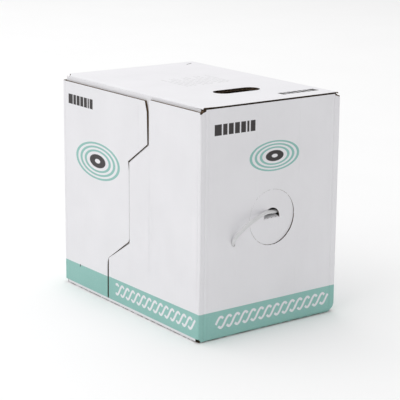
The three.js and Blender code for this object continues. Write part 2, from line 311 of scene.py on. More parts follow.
def kraft_board(name, colour=KRAFT, across=0, ripple=0.4):
    """Brown unbleached paper with long fibres and flecks."""
    s = Shader(name)
    fibres = s.noise(420.0, 5.0, 0.7, stretch=(1, 0.25, 1))
    flecks = s.ramp(s.noise(1100.0, 2.0), 0.63, 0.7)
    darker = tuple(c * 0.72 for c in colour[:3]) + (1,)
    base = s.blend(s.ramp(fibres, 0.3, 0.72), darker, colour)
    base = s.blend(s.math("MULTIPLY", flecks, 0.35), base, (0.1, 0.06, 0.035, 1))
    base = s.blend(s.math("MULTIPLY", s.ramp(s.noise(16.0), 0.35, 0.75), 0.25), base, (0.42, 0.29, 0.17, 1))
    ripples = s.bump(washboard(s, across), 0.00012, ripple)
    fine = s.bump(fibres, 0.00004, 0.6, ripples)
    return s.finish(base, 0.86, fine, Specular_IOR_Level=0.2)


def flute_paper_painted_shade():
    """The corrugated medium: brown paper, coloured darker than it is as painted shade deep between the liners."""
    s = Shader("flute_paper_painted_shade")
    fibres = s.noise(700.0, 4.0, 0.7)
    base = s.blend(s.ramp(fibres, 0.3, 0.7), (0.12, 0.085, 0.06, 1), (0.17, 0.12, 0.08, 1))
    return s.finish(base, 0.9, s.bump(fibres, 0.00003, 0.6), Specular_IOR_Level=0.15)


def fibreboard():
    """Hard pressed board of the reel's flanges: flecked brown with a smooth rolled face."""
    s = Shader("fibreboard")
    chips = s.noise(230.0, 6.0, 0.75)
    base = s.blend(s.ramp(chips, 0.35, 0.68), (0.17, 0.105, 0.06, 1), (0.34, 0.23, 0.14, 1))
    specks = s.ramp(s.noise(800.0, 3.0), 0.62, 0.7)
    base = s.blend(s.math("MULTIPLY", specks, 0.5), base, (0.5, 0.38, 0.26, 1))
    return s.finish(base, 0.6, s.bump(chips, 0.00006, 0.5), Specular_IOR_Level=0.35)


def cable_jacket():
    """Pale grey-white PVC with the faint ridges that the twisted pairs press through it."""
    s = Shader("cable_jacket")
    cloud = s.ramp(s.noise(60.0, 3.0), 0.3, 0.7)
    base = s.blend(cloud, grey(0.71, 0.01), grey(0.66, 0.01))
    dark_mark = s.math("MULTIPLY", s.ramp(s.noise(330.0, 4.0, 0.7), 0.62, 0.72), 0.2)
    base = s.blend(dark_mark, base, grey(0.5))
    fine = s.bump(s.noise(1200.0, 2.0), 0.00002, 0.35)
    return s.finish(base, s.ramp(cloud, 0, 1, 0.34, 0.44), fine, Specular_IOR_Level=0.5)


def zinc_steel():
    """Zinc-plated steel, faintly brushed and spangled."""
    s = Shader("zinc_steel")
    brushed = s.noise(700.0, 3.0, 0.6, stretch=(0.03, 1, 1))
    spangle = s.noise(240.0, 2.0)
    base = s.blend(s.ramp(spangle, 0.35, 0.65), (0.46, 0.47, 0.49, 1), (0.62, 0.62, 0.6, 1))
    rough = s.ramp(brushed, 0.3, 0.7, 0.26, 0.46)
    return s.finish(base, rough, s.bump(brushed, 0.00002, 0.4), Metallic=1.0)


def black_plastic():
    """Moulded black polypropylene with a fine spark-eroded grain."""
    s = Shader("black_plastic")
    grain = s.noise(1600.0, 2.0)
    base = s.blend(s.ramp(s.noise(50.0, 3.0), 0.3, 0.7), grey(0.022, 0.05), grey(0.034, 0.05))
    rough = s.ramp(grain, 0.3, 0.7, 0.4, 0.55)
    return s.finish(base, rough, s.bump(grain, 0.00003, 0.5), Specular_IOR_Level=0.45)


def floor_paper():
    s = Shader("floor_paper")
    base = s.blend(s.ramp(s.noise(3.0, 2.0), 0.3, 0.7), grey(0.955), grey(0.945))
    return s.finish(base, 0.8, s.bump(s.noise(300.0, 2.0), 0.0001, 0.2), Specular_IOR_Level=0.2)


WHITE = (0.83, 0.823, 0.848, 1)
TEAL = (0.28, 0.537, 0.49, 1)
BLACK = (0.04, 0.035, 0.036, 1)
PALE = (0.66, 0.655, 0.67, 1)
PRINT = {}
for axis, letter in enumerate("xyz"):
    PRINT[axis] = {
        "white": printed_board(f"white_liner_{letter}", WHITE, axis, 0.5),
        "teal": printed_board(f"teal_ink_{letter}", TEAL, axis, 0.46, 0.35),
        "black": printed_board(f"black_ink_{letter}", BLACK, axis, 0.42, 0.05),
        "pale": printed_board(f"pale_ink_{letter}", PALE, axis, 0.5, 0.1),
        "kraft": kraft_board(f"kraft_liner_{letter}", across=axis),
    }
# The medium's paper, coloured darker as painted shade between the liners.
SHADED_FLUTES = flute_paper_painted_shade()
# The raw cut edges: kraft coloured darker as painted shade in the open flutes.
KRAFT_EDGE_SHADED = kraft_board("kraft_edge_painted_shade", (0.12, 0.09, 0.075, 1), ripple=0.0)
FIBREBOARD = fibreboard()
JACKET = cable_jacket()
STUFF = {
    # A material and its slot for each kind of turned piece.
    "steel": (zinc_steel(), "zinc_steel"),
    "plastic": (black_plastic(), "black_plastic"),
    "board": (PRINT[0]["kraft"], "kraft_board"),
}


# ---------------------------------------------------------------- the cable outside

def smooth_route(points, steps=3):
    """A centripetal Catmull-Rom curve through the points, as the CAD model's tube follows."""
    points = [Vector(p) for p in points]
    ends = [points[0] * 2 - points[1], *points, points[-1] * 2 - points[-2]]
    made = []
    for p0, p1, p2, p3 in zip(ends, ends[1:], ends[2:], ends[3:]):
        d0, d1, d2 = ((b - a).length ** 0.5 for a, b in ((p0, p1), (p1, p2), (p2, p3)))
        m1 = (p1 - p0) / d0 - (p2 - p0) / (d0 + d1) + (p2 - p1) / d1
        m2 = (p2 - p1) / d1 - (p3 - p1) / (d1 + d2) + (p3 - p2) / d2
        m1, m2 = m1 * d1, m2 * d1
        for k in range(steps):
            t = k / steps
            made.append(
                p1 * (2 * t**3 - 3 * t**2 + 1) + m1 * (t**3 - 2 * t**2 + t)
                + p2 * (3 * t**2 - 2 * t**3) + m2 * (t**3 - t**2)
            )
    return [*made, points[-1]]


def cable_piece(name, route, node):
    data = bpy.data.curves.new(name, "CURVE")
    data.dimensions = "3D"
    data.bevel_depth = CABLE_DIAMETER / 2
    data.bevel_resolution = 7
    data.use_fill_caps = True
    data.resolution_u = 6
    spline = data.splines.new("BEZIER")
    spline.bezier_points.add(len(route) - 1)
    for point, place in zip(spline.bezier_points, route):
        point.co = place
        point.handle_left_type = point.handle_right_type = "AUTO"
    spline.use_smooth = True
    data.materials.append(JACKET)
    piece = link(name, data)
    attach(piece, "carton")
    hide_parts(node)
    return piece


loop_route = smooth_route(LOOP_ROUTE)
loop = cable_piece("cable_loop_outside", loop_route, "cable_loop")
cable_piece("cable_lead_inside", smooth_route(LEAD_ROUTE), "cable_lead")


# ---------------------------------------------------------------- flat outlines

def resampled(ring, step):
    """The closed ring with its long edges divided, so that they can bend."""
    made = []
    for (x1, y1), (x2, y2) in zip(ring, [*ring[1:], ring[0]]):
        count = max(1, math.ceil(math.hypot(x2 - x1, y2 - y1) / step))
        made += [(x1 + (x2 - x1) * k / count, y1 + (y2 - y1) * k / count) for k in range(count)]
    return made


def ellipse(x, y, a, b, count=64):
    angles = [2 * math.pi * k / count for k in range(count)]
    return [(x + a * math.cos(t), y + b * math.sin(t)) for t in angles]


def arc(x, y, radius, count, start, end):
    """Points round part of a circle, with both ends."""
    angles = [start + (end - start) * k / count for k in range(count + 1)]
    return [(x + radius * math.cos(t), y + radius * math.sin(t)) for t in angles]


def obround(x, y, length, width, count=16):
    reach, radius = (length - width) / 2, width / 2
    right = arc(x + reach, y, radius, count, -QUARTER, QUARTER)
    left = arc(x - reach, y, radius, count, QUARTER, 3 * QUARTER)
    return [*right, *left]


def rule(axis, where, low, high):
    """A straight line at a fixed u (axis 0) or a fixed v (axis 1)."""
    return ((where, low), (where, high)) if axis == 0 else ((low, where), (high, where))


def inside(points, ring):
    """Which of the points lie inside a closed ring."""
    x, y = points[:, 0], points[:, 1]
    held = np.zeros(len(points), bool)
    x1, y1 = ring[-1]
    for x2, y2 in ring:
        if y1 != y2:
            crossing = x1 + (y - y1) * (x2 - x1) / (y2 - y1)
            held ^= ((y1 > y) != (y2 > y)) & (x < crossing)
        x1, y1 = x2, y2
    return held


def clearance(points, ring):
    """How far each point is from a ring's edges."""
    nearest = np.full(len(points), 1e9)
    for a, b in zip(np.array(ring), np.array([*ring[1:], ring[0]])):
        along = b - a
        share = np.clip(((points - a) @ along) / max(along @ along, 1e-12), 0, 1)
        nearest = np.minimum(nearest, np.hypot(*(points - a - share[:, None] * along).T))
    return nearest


def triangulated(outline, holes=(), rings=(), lines=(), step=7.0):
    """Triangles over a flat outline that keep to its rings and lines, with a grid of points between."""
    points, edges = [], []
    for ring in [outline, *holes, *rings]:
        first, count = len(points), len(ring)
        points += ring
        edges += [(first + k, first + (k + 1) % count) for k in range(count)]
    for start, end in lines:
        edges.append((len(points), len(points) + 1))
        points += [start, end]
    low, high = np.min(outline, axis=0), np.max(outline, axis=0)
    across, up = (np.arange(low[k] + step / 2, high[k], step) for k in (0, 1))
    grid = np.array([(x, y) for x in across for y in up]).reshape(-1, 2)
    keep = inside(grid, outline)
    for ring in [outline, *holes, *rings]:
        keep[keep] &= clearance(grid[keep], ring) > step * 0.3
    points += [tuple(p) for p in grid[keep]]
    found = delaunay_2d_cdt([Vector(p) for p in points], edges, [], 0, 1e-4, False)
    flat = np.array([tuple(v) for v in found[0]])
    faces = np.array(found[2])
    centres = flat[faces].mean(axis=1)
    wanted = inside(centres, outline)
    for hole in holes:
        wanted &= ~inside(centres, hole)
    faces = faces[wanted]
    used, renumbered = np.unique(faces, return_inverse=True)
    return flat[used], renumbered.reshape(faces.shape), centres[wanted]


# ---------------------------------------------------------------- building meshes

class Build:
    """Collects a piece's closed solids in millimetres, and makes its mesh."""

    def __init__(self):
        self.points, self.faces, self.materials, self.marks = [], [], [], []
        self.count = 0

    def material(self, material):
        if material not in self.materials:
            self.materials.append(material)
        return self.materials.index(material)

    def add(self, points, faces, marks):
        self.faces += [[corner + self.count for corner in face] for face in faces]
        self.points.append(np.asarray(points, float))
        self.count += len(points)
        self.marks += list(marks)

    def loops(self, rings, mark, joined=False):
        """A solid through closed rings of points, the last joined to the first or both ends capped."""
        count, total = len(rings[0]), len(rings)
        faces = []
        for ring in range(total if joined else total - 1):
            here, there = ring * count, (ring + 1) % total * count
            for k in range(count):
                after = (k + 1) % count
                faces.append([here + k, here + after, there + after, there + k])
        if not joined:
            last = (total - 1) * count
            faces += [list(range(count))[::-1], [last + k for k in range(count)]]
        self.add(np.vstack(rings), faces, [mark] * len(faces))

    def slab(self, faces, upper, lower, top, under, side):
        """A closed sheet between two copies of a triangulation. top is a list of a mark for each face."""
        count = len(upper)
        faces = faces.tolist()
        directed = {tuple(e) for f in faces for e in zip(f, f[1:] + f[:1])}
        rim = sorted((a, b) for a, b in directed if (b, a) not in directed)
        walls = [[b, a, a + count, b + count] for a, b in rim]
        below = [[corner + count for corner in face[::-1]] for face in faces]
        marks = [*top, *([under] * len(faces)), *([side] * len(walls))]
        self.add(np.vstack([upper, lower]), [*faces, *below, *walls], marks)

    def finish(self, name, body, nodes, slot, sharp=35.0, outward=False, bevel=0.0):
        mesh = bpy.data.meshes.new(name)
        mesh.from_pydata((np.vstack(self.points) * MM).tolist(), [], self.faces)
        for material in self.materials:
            mesh.materials.append(material)
        mesh.polygons.foreach_set("material_index", self.marks)
        if outward or bevel:
            shape = bmesh.new()
            shape.from_mesh(mesh)
            bmesh.ops.recalc_face_normals(shape, faces=shape.faces)
            if bevel:
                corners = [e for e in shape.edges if len(e.link_faces) == 2 and e.calc_face_angle() > 1.0]
                bmesh.ops.bevel(shape, geom=corners, offset=bevel * MM, segments=2, affect="EDGES")
            shape.to_mesh(mesh)
            shape.free()
        mesh.shade_smooth()
        mesh.set_sharp_from_angle(angle=math.radians(sharp))
        mesh.validate()
        piece = link(name, mesh)
        if body:
            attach(piece, body)
        if nodes:
            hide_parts(*nodes)
        return piece


class Face:
    """A side of the carton: flat (u, v) and outward height w, in millimetres, to the row frame."""

    def __init__(self, origin, u, v, out):
        self.origin, self.u, self.v, self.out = (np.array(a, float) for a in (origin, u, v, out))
        self.flip = np.dot(np.cross(self.u, self.v), self.out) < 0

    def place(self, flat, height):
        in_plane = np.outer(flat[:, 0], self.u) + np.outer(flat[:, 1], self.v)
        return self.origin + in_plane + np.outer(height, self.out)

    def order(self, faces):
        return faces[:, ::-1] if self.flip else faces

    def axis(self, across):
        """Which row axis the face's u or v runs along."""
        return int(np.argmax(np.abs((self.u, self.v)[across])))


FRONT = Face((0, -HALF_DEPTH, 0), (1, 0, 0), (0, 0, 1), (0, -1, 0))
BACK = Face((0, HALF_DEPTH, 0), (1, 0, 0), (0, 0, 1), (0, 1, 0))
BOTTOM = Face((0, 0, 0), (1, 0, 0), (0, 1, 0), (0, 0, -1))


def level_face(height):
    return Face((0, 0, height), (1, 0, 0), (0, 1, 0), (0, 0, 1))


def side_face(sign, distance):
    return Face((sign * distance, 0, 0), (0, 1, 0), (0, 0, 1), (sign, 0, 0))


class Fold:
    """A crease along a corner of the board: axis 0 is a line of fixed u, 1 of fixed v. The outer liner turns
    through the angle there, or stops short of the corner where the angle is 0 and another piece goes round."""

    def __init__(self, axis, corner, inward, radius=CREASE_RADIUS, angle=QUARTER / 2):
        self.axis, self.corner, self.inward, self.radius, self.angle = axis, corner, inward, radius, angle
        self.start = radius * (1 - angle) if angle else radius + SLIT_GAP

    def at(self, distance):
        return self.corner + self.inward * distance

    def lines(self, low, high):
        """Lines for the triangles to keep to, so that the round of the crease is smooth."""
        count, other = round(14 * self.angle), 1 - self.axis
        steps = [self.start + (self.radius - self.start) * k / count for k in range(1, count + 1)]
        return [rule(self.axis, self.at(step), low[other], high[other]) for step in steps]


def rolled(flat, folds, depth):
    """Where a layer at that depth lies once the creases are round: its (u, v), and its height. Past a full
    turn the liner goes on straight."""
    place, height = flat.copy(), np.full(len(flat), -depth)
    for fold in (f for f in folds if f.angle):
        past = 1 - fold.inward * (flat[:, fold.axis] - fold.corner) / fold.radius
        turn = np.clip(past, 0, fold.angle)
        bend = fold.radius - depth
        moved = fold.at(fold.radius - bend * np.sin(turn))
        place[:, fold.axis] = np.where(turn > 1e-6, moved, place[:, fold.axis])
        height -= bend * (1 - np.cos(turn))
        if fold.angle == QUARTER:
            height -= fold.radius * np.clip(past - fold.angle, 0, None)
    return place, height


def level(flat, depth):
    """A board with no dents: no height anywhere. depth, 0 at the outer face and 1 at the inner, is not used."""
    return np.zeros(len(flat))


def settled(points):
    """What has happened to the whole carton: a knocked corner, and a left side that bulges at its foot."""
    corner = np.array([HALF_WIDTH, -HALF_DEPTH, 0])
    near = np.clip(1 - np.linalg.norm(points - corner, axis=1) / KNOCK_REACH, 0, 1) ** 1.5
    moved = points + near[:, None] * np.array(KNOCK)
    foot = np.clip(1 - points[:, 2] / BULGE_HEIGHT, 0, 1) ** 1.2
    ahead = np.clip(0.5 - points[:, 1] / (2 * HALF_DEPTH), 0, 1)
    moved[:, 0] -= BULGE * foot * ahead * np.clip(-points[:, 0] / HALF_WIDTH - 0.6, 0, 0.4) / 0.4
    return moved


def board(node, face, outline, folds=(), across=0, holes=(), inner_holes=None, prints=(), lines=(),
          shape=level, outer="white", step=7.0):
    """A piece of corrugated board. outline(inset) gives the ring of its outer liner, where inset is None,
    or of the layers inside it, with the folded edges set in by that much."""
    build = Build()
    palette = PRINT[face.axis(across)]
    # The cut sides and the medium take materials coloured darker as painted shade in the flutes.
    kraft, edge, flutes = (build.material(m) for m in (palette["kraft"], KRAFT_EDGE_SHADED, SHADED_FLUTES))
    inner_holes = holes if inner_holes is None else inner_holes

    def layer(flat, depth, roll=()):
        place, height = rolled(flat, roll, depth)
        return settled(face.place(place, height + shape(flat, depth / BOARD)))

    ring = outline(None)
    low, high = np.min(ring, axis=0) - 1, np.max(ring, axis=0) + 1
    guides = [*(line for fold in folds for line in fold.lines(low, high)), *lines]
    rings = [printed for printed, _ in prints]
    flat, faces, centres = triangulated(resampled(ring, step), holes, rings, guides, step)
    marks = np.full(len(faces), build.material(palette[outer]))
    for printed, ink in prints:
        marks[inside(centres, printed)] = build.material(palette[ink])
    sheet = (layer(flat, 0.0, folds), layer(flat, LINER, folds))
    build.slab(face.order(faces), *sheet, marks.tolist(), kraft, edge)

    ring = outline(BOARD)
    flat, faces, _ = triangulated(resampled(ring, step), inner_holes, (), (), step)
    sheet = (layer(flat, BOARD - LINER), layer(flat, BOARD))
    build.slab(face.order(faces), *sheet, [kraft] * len(faces), kraft, edge)

    # The corrugated medium between the liners, its waves across the given axis.
    low, high = np.min(ring, axis=0) - 1, np.max(ring, axis=0) + 1
    column = FLUTE_PITCH / FLUTE_STEPS
    columns = np.arange(math.floor(low[across] / column), math.ceil(high[across] / column) + 1) * column
    along = 1 - across
    rows = np.linspace(low[along], high[along], 2 + round((high - low)[along] / 26.0))
    cuts = [rule(across, here, start, end) for here in columns for start, end in zip(rows, rows[1:])]
    flat, faces, _ = triangulated(ring, inner_holes, (), cuts, 30.0)
    amplitude = (BOARD - 2 * LINER - MEDIUM) / 2
    wave = amplitude * np.sin(2 * math.pi * flat[:, across] / FLUTE_PITCH)
    middle = wave - BOARD / 2 + shape(flat, 0.5)
    sheet = [settled(face.place(flat, middle + half)) for half in (MEDIUM / 2, -MEDIUM / 2)]
    build.slab(face.order(faces), *sheet, [flutes] * len(faces), flutes, flutes)

    moves = node in ("exit_tab", "hand_hole_flap") or node.startswith("outer_")
    name = node.replace("_panel", "") + "_board"
    build.finish(name, node if moves else "carton", [node], f"{outer}_board")


# ---------------------------------------------------------------- print, generic marks only

BLOCK_WIDTHS = (13, 8, 9, 9, 9, 4, 9)
BLOCK_SIZE = (75.5, 16.5)
COIL_RINGS = (
    (1.0, 72, "teal"), (0.9, 72, "white"), (0.8, 72, "teal"), (0.7, 72, "white"), (0.6, 72, "teal"),
    (0.5, 72, "white"), (0.36, 40, "black"), (0.12, 24, "white"),
)
COIL_SIZE = (48.2, 23.3)
BAND_TOP = 44.3
BAND_FOOT = -9.0
WIRE_SWING = 8.6
WIRE_PITCH = 31.0
WIRE_WIDTH = 3.9
WIRE_BREAK = 3.4
DASH_LENGTHS = (10, 17, 7, 13, 21)
DASH_THICKNESS = 2.6
DASH_ROW = 8.0


def mirrored(prints):
    return [([(-a, b) for a, b in ring], ink) for ring, ink in prints]


def block_mark(x, y, size=BLOCK_SIZE, turned=False):
    """A plain row of solid blocks where a name would stand. (x, y) is its lower left corner."""
    gap = (size[0] - sum(BLOCK_WIDTHS)) / (len(BLOCK_WIDTHS) - 1)
    rings, left = [], 0.0
    for width in BLOCK_WIDTHS:
        rings.append([(left, 0), (left + width, 0), (left + width, size[1]), (left, size[1])])
        left += width + gap
    if turned:
        rings = [[(size[0] - a, size[1] - b) for a, b in ring] for ring in rings]
    return [([(x + a, y + b) for a, b in ring], "black") for ring in rings]


def coil_mark(x, y, size=COIL_SIZE):
    """A coil of cable seen end on: rings of teal round a dark hub."""
    return [(ellipse(x, y, size[0] * share, size[1] * share, count), ink) for share, count, ink in COIL_RINGS]


def strand(start, end, phase, centre):
    """One stretch of a twisted wire as a closed band round a cosine."""
    count = max(8, round((end - start) / WIRE_PITCH * 28))
    upper, lower = [], []
    for k in range(count + 1):
        x = start + (end - start) * k / count
        angle = 2 * math.pi * x / WIRE_PITCH + phase
        slope = -WIRE_SWING * 2 * math.pi / WIRE_PITCH * math.sin(angle)
        across = WIRE_WIDTH / 2 / math.hypot(1, slope)
        y = centre + WIRE_SWING * math.cos(angle)
        upper.append((x - slope * across, y + across))
        lower.append((x + slope * across, y - across))
    return [*lower, *reversed(upper)]


def twisted_pair(left, right, centre):
    """Two white wires twisted round each other. Each goes under at every second crossing, broken there."""
    made = []
    for wire in (0, 1):
        under = WIRE_PITCH / 4 + wire * WIRE_PITCH / 2
        breaks = [b for b in (under + WIRE_PITCH * k for k in range(-20, 21)) if left < b < right]
        starts = [left, *(b + WIRE_BREAK for b in breaks)]
        ends = [*(b - WIRE_BREAK for b in breaks), right]
        for start, end in zip(starts, ends):
            if end - start > 3:
                made.append((strand(start, end, wire * math.pi, centre), "white"))
    return made


def band(left, right, left_top=BAND_TOP, right_top=BAND_TOP):
    return [([(left, BAND_FOOT), (right, BAND_FOOT), (right, right_top), (left, left_top)], "teal")]


def small_lines(left, right, low, high):
    """A faint block of thin dashes where small print would stand, in rows along v."""
    made, row, x = [], 0, left
    while x < right:
        y = low + (9 if row % 4 == 3 else 0)
        stop = high - (21 if row % 3 == 1 else 4)
        while y < stop:
            length = DASH_LENGTHS[(row * 2 + len(made)) % 5]
            end = min(y + length, stop)
            made.append(([(x, y), (x + DASH_THICKNESS, y), (x + DASH_THICKNESS, end), (x, end)], "pale"))
            y += length + DASH_THICKNESS
        x += DASH_ROW
        row += 1
    return made


# ---------------------------------------------------------------- the wrap: front, bottom, back, top

FRONT_DENTS = [
    # u, v, radius, depth, stretch
    (-70.4, 139.8, 4.2, -1.4, 1.0), (-86, 186, 2.6, 0.35, 1.0), (52, 118, 9, 0.25, 2.2),
    (108, 284, 5, 0.4, 1.0),
]


def foot_ring(inset):
    """The lower part of a wrap panel's ring, which stops at the crease strips and is notched for the flaps.
    With it, half of the width, and half of it between the notches."""
    side, foot = (inset, inset)
    if inset is None:
        side, foot = HINGE_RADIUS + SLIT_GAP, CREASE_RADIUS * (1 - QUARTER / 2)
    out = HALF_WIDTH - side
    tight = min(INNER_SIDE, out - 0.05)
    ring = [(-out, NOTCH), (-tight, NOTCH), (-tight, foot), (tight, foot), (tight, NOTCH), (out, NOTCH)]
    return ring, out, tight


def groove(flat, where, width, depth, low=-1e9, high=1e9):
    """The height of a shallow line pressed into a board along a fixed u."""
    along = flat[:, 1]
    ends = np.clip((along - low) / GROOVE_FADE, 0, 1) * np.clip((high - along) / GROOVE_FADE, 0, 1)
    return -depth * np.exp(-(((flat[:, 0] - where) / width) ** 2)) * ends


def groove_lines(where, low, high, near, far):
    return [rule(0, where + offset, low, high) for offset in (-far, -near, 0.0, near, far)]


def dent(flat, x, y, radius, depth, stretch):
    distance = np.hypot((flat[:, 0] - x) / stretch, flat[:, 1] - y) / radius
    return -depth * np.exp(-distance**2)


def bow(flat):
    """A wrap panel's swelling: nothing at its edges and 1 in its middle."""
    up = np.clip(flat[:, 1] / HEIGHT, 0, 1)
    return np.cos(flat[:, 0] / HALF_WIDTH * QUARTER) * np.sin(up * math.pi)


def front_shape(flat, depth):
    height = np.zeros(len(flat))
    for sign, _ in SIDES:
        height += groove(flat, sign * SCORE, 0.8, 0.75)
        height -= groove(flat, sign * SCORE_RIDGE, 1.2, 0.4)
        beyond = np.clip(sign * flat[:, 0] - SCORE, 0, 12) / 10.0
        height += CORNER_TILT * beyond * np.clip((CORNER_TILT_TOP - flat[:, 1]) / 12, 0, 1)
    for where, low, high, deep in FRONT_GROOVES:
        height += groove(flat, where, 1.1, deep, low, high)
    for dented in FRONT_DENTS:
        height += dent(flat, *dented)
    return (height + 0.7 * bow(flat)) * np.clip(1 - depth, 0, 1)


def hinged_sides():
    return [Fold(0, -sign * HALF_WIDTH, sign, HINGE_RADIUS, 0.0) for sign in (1, -1)]


def knock_out_ring():
    """The disc's hole: a cut all round, closed again at the nicks that hold the disc in."""
    ring = []
    for k in range(192):
        angle = 2 * math.pi * k / 192
        radius = DISC_RADIUS + (NICK_GAP if math.degrees(angle) % 45 < 5.6 else DISC_GAP)
        ring.append((DISC_X + radius * math.cos(angle), DISC_Z + radius * math.sin(angle)))
    return ring


def slit_ring(x, z, long, short):
    """The slanted slot in the front that the cable's end is pushed into."""
    middle, along = Vector((x, z)), Vector((0.32, -0.95)).normalized()
    across = Vector((-along.y, along.x))
    return [tuple(middle + along * a + across * b) for a, b in ellipse(0, 0, long, short, 32)]


def add_front():
    guides = []
    for sign, _ in SIDES:
        guides += groove_lines(sign * SCORE, 6, UNDER_TOP - 1, 0.9, 1.8)
        guides += groove_lines(sign * SCORE_RIDGE, 6, UNDER_TOP - 1, 0.7, 1.4)
    for where, low, high, _ in FRONT_GROOVES:
        guides += groove_lines(where, low, high, 0.9, 2.0)

    def outline(inset):
        """The liner stands a little higher than the board behind it, and dips at the arched corner strips."""
        ring, out, _ = foot_ring(inset)
        if inset is not None:
            return [*ring, (out, UNDER_TOP), (-out, UNDER_TOP)]
        strip = SCORE - 0.6
        arch = [
            (out, 347.2), (out - 2, 348.6), (strip + 3, 349.8), (strip + 1, 350.2), (strip, UNDER_TOP + 1.1),
        ]
        return [*ring, *arch, *[(-x, z) for x, z in arch[::-1]]]

    prints = [
        *band(-HALF_WIDTH - 1, HALF_WIDTH + 1, 44.2, 44.7),
        *twisted_pair(-HALF_WIDTH + 31.8, -HALF_WIDTH + 253.9, 25.6),
        *block_mark(-HALF_WIDTH + 25.2, 312.6),
        *coil_mark(-HALF_WIDTH + 138.65, 270.3),
    ]
    board(
        "front_panel", FRONT, outline, [*hinged_sides(), Fold(1, 0, 1)],
        holes=[knock_out_ring(), slit_ring(-72.9, 146.1, 5.5, 3.25)],
        inner_holes=[knock_out_ring(), slit_ring(-71.6, 142.0, 10.0, 3.7)],
        prints=prints, lines=guides, shape=front_shape,
    )


def exit_shape(flat, depth):
    """The disc has been pushed in a little at its lower right."""
    push = np.clip(((flat[:, 0] - DISC_X) * 0.75 - (flat[:, 1] - DISC_Z) * 0.66) / DISC_RADIUS, 0, 1)
    return 0.55 - 1.5 * push**1.5


def half_moon(x, z, radius, chord):
    return [(x + radius, z - chord), *arc(x, z, radius, 36, 0, math.pi), (x - radius, z - chord)]


def add_exit():
    disc = ellipse(DISC_X - 0.18, DISC_Z + 0.18, DISC_RADIUS, DISC_RADIUS, 192)
    board(
        "exit_disc", FRONT, lambda inset: disc, shape=exit_shape, step=5.0,
        holes=[half_moon(EXIT_X, EXIT_Z, EXIT_RADIUS, 2.0)],
        inner_holes=[half_moon(EXIT_X, EXIT_Z, EXIT_RADIUS + 2.0, 0.3)],
    )


def add_exit_tab():
    """The half-moon, pushed in and sloping up, and the liner that bends between it and the disc below."""
    slope = math.radians(TAB_RISE)
    along = np.array([0, math.cos(slope), math.sin(slope)])
    out = np.array([0, -math.sin(slope), math.cos(slope)])
    crease = np.array([EXIT_X, -HALF_DEPTH + BOARD / 2, EXIT_Z - BOARD / 2]) + out * BOARD / 2
    start, width = 5.05, EXIT_RADIUS - 0.4
    side = math.sqrt(width**2 - (start - BOARD / 2) ** 2)
    kept = [p for p in arc(0, BOARD / 2, width, 36, 0, math.pi) if p[1] > start + 0.1]
    tab = [(side, start), *kept, (-side, start)]
    board("exit_tab", Face(crease, (1, 0, 0), along, out), lambda inset: tab, step=4.0)

    disc_face = -HALF_DEPTH - 0.55
    low, turn = (np.array([0, disc_face, EXIT_Z - below]) for below in (1.95, 0.75))
    high = np.array([0, crease[1], crease[2]]) + along * 0.4
    shares = np.linspace(0, 1, 11)[:, None]
    bend = (1 - shares) ** 2 * low + 2 * shares * (1 - shares) * turn + shares**2 * high
    flat_part = [high + along * (start - 0.45) * share for share in (0.25, 0.5, 0.75, 1.0)]
    outer = np.vstack([bend, flat_part])
    inward = np.cross(np.gradient(outer, axis=0), (1.0, 0, 0))
    inner = outer + inward / np.linalg.norm(inward, axis=1)[:, None] * LINER
    section = np.vstack([outer, inner[::-1]])
    half = width - 0.3
    build = Build()
    white = build.material(PRINT[0]["white"])
    build.loops([section + (x, 0, 0) for x in np.linspace(EXIT_X - half, EXIT_X + half, 13)], white)
    strip = build.finish("exit_tab_crease", None, [], "white_board", outward=True)
    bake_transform(strip)


def add_hand_hole_flap():
    """It hangs from the hand hole's front edge, with its printed face to the back."""
    low, high = box_mm("hand_hole_flap")
    face = Face((HAND_HOLE_X, high[1], high[2]), (1, 0, 0), (0, 0, -1), (0, 1, 0))
    length, _, depth = high - low
    ring = [(x, max(y, 1.3)) for x, y in obround(0, depth / 2, length, depth)]
    board("hand_hole_flap", face, lambda inset: ring, step=6.0)


def add_back():
    guides = []
    for sign, _ in SIDES:
        guides += groove_lines(sign * SCORE, 6, HEIGHT - 6, 0.9, 1.8)

    def outline(inset):
        ring, out, tight = foot_ring(inset)
        notch, high = HEIGHT - NOTCH, HEIGHT - (TOP_REAR_RADIUS + SLIT_GAP if inset is None else inset)
        return [
            *ring, (out, notch), (tight, notch), (tight, high), (-tight + TORN[0] + 2, high),
            (-tight + TORN[0], notch - 5), (-out, notch - 5),
        ]

    def shape(flat, depth):
        height = sum(groove(flat, sign * SCORE, 0.8, 0.4) for sign, _ in SIDES)
        return (height + 0.8 * bow(flat)) * np.clip(1 - depth, 0, 1)

    folds = [*hinged_sides(), Fold(1, 0, 1), Fold(1, HEIGHT, -1, TOP_REAR_RADIUS, 0.0)]
    prints = [
        *band(-HALF_WIDTH - 1, HALF_WIDTH + 1), *twisted_pair(-119.5, 103.5, 24.0),
        *mirrored(block_mark(-HALF_WIDTH + 25.2, 312.6)), *coil_mark(-5.0, 270.3),
    ]
    board("back_panel", BACK, outline, folds, prints=prints, lines=guides, shape=shape)


def top_outline(inset):
    """The top's liner turns down all the way over both sides and the back, and is notched where those meet."""
    if inset is not None:
        out, rear = INNER_SIDE - inset, HALF_DEPTH - inset
        front = -HALF_DEPTH + 0.75
        return [(-out, front), (out, front), (out, rear), (-out + TORN[0], rear), (-out, rear - TORN[1])]
    side, rear = (radius * (QUARTER - 1) for radius in (TOP_SIDE_RADIUS, TOP_REAR_RADIUS))
    out, back = INNER_SIDE + side, HALF_DEPTH + rear
    tight, short = INNER_SIDE - TOP_SIDE_RADIUS, HALF_DEPTH - CORNER_RELIEF
    return [
        (-out, -HALF_DEPTH), (out, -HALF_DEPTH), (out, short), (tight, short), (tight, back),
        (-tight + TORN[0], back), (-tight, short - TORN[1]), (-out, short - TORN[1]),
    ]


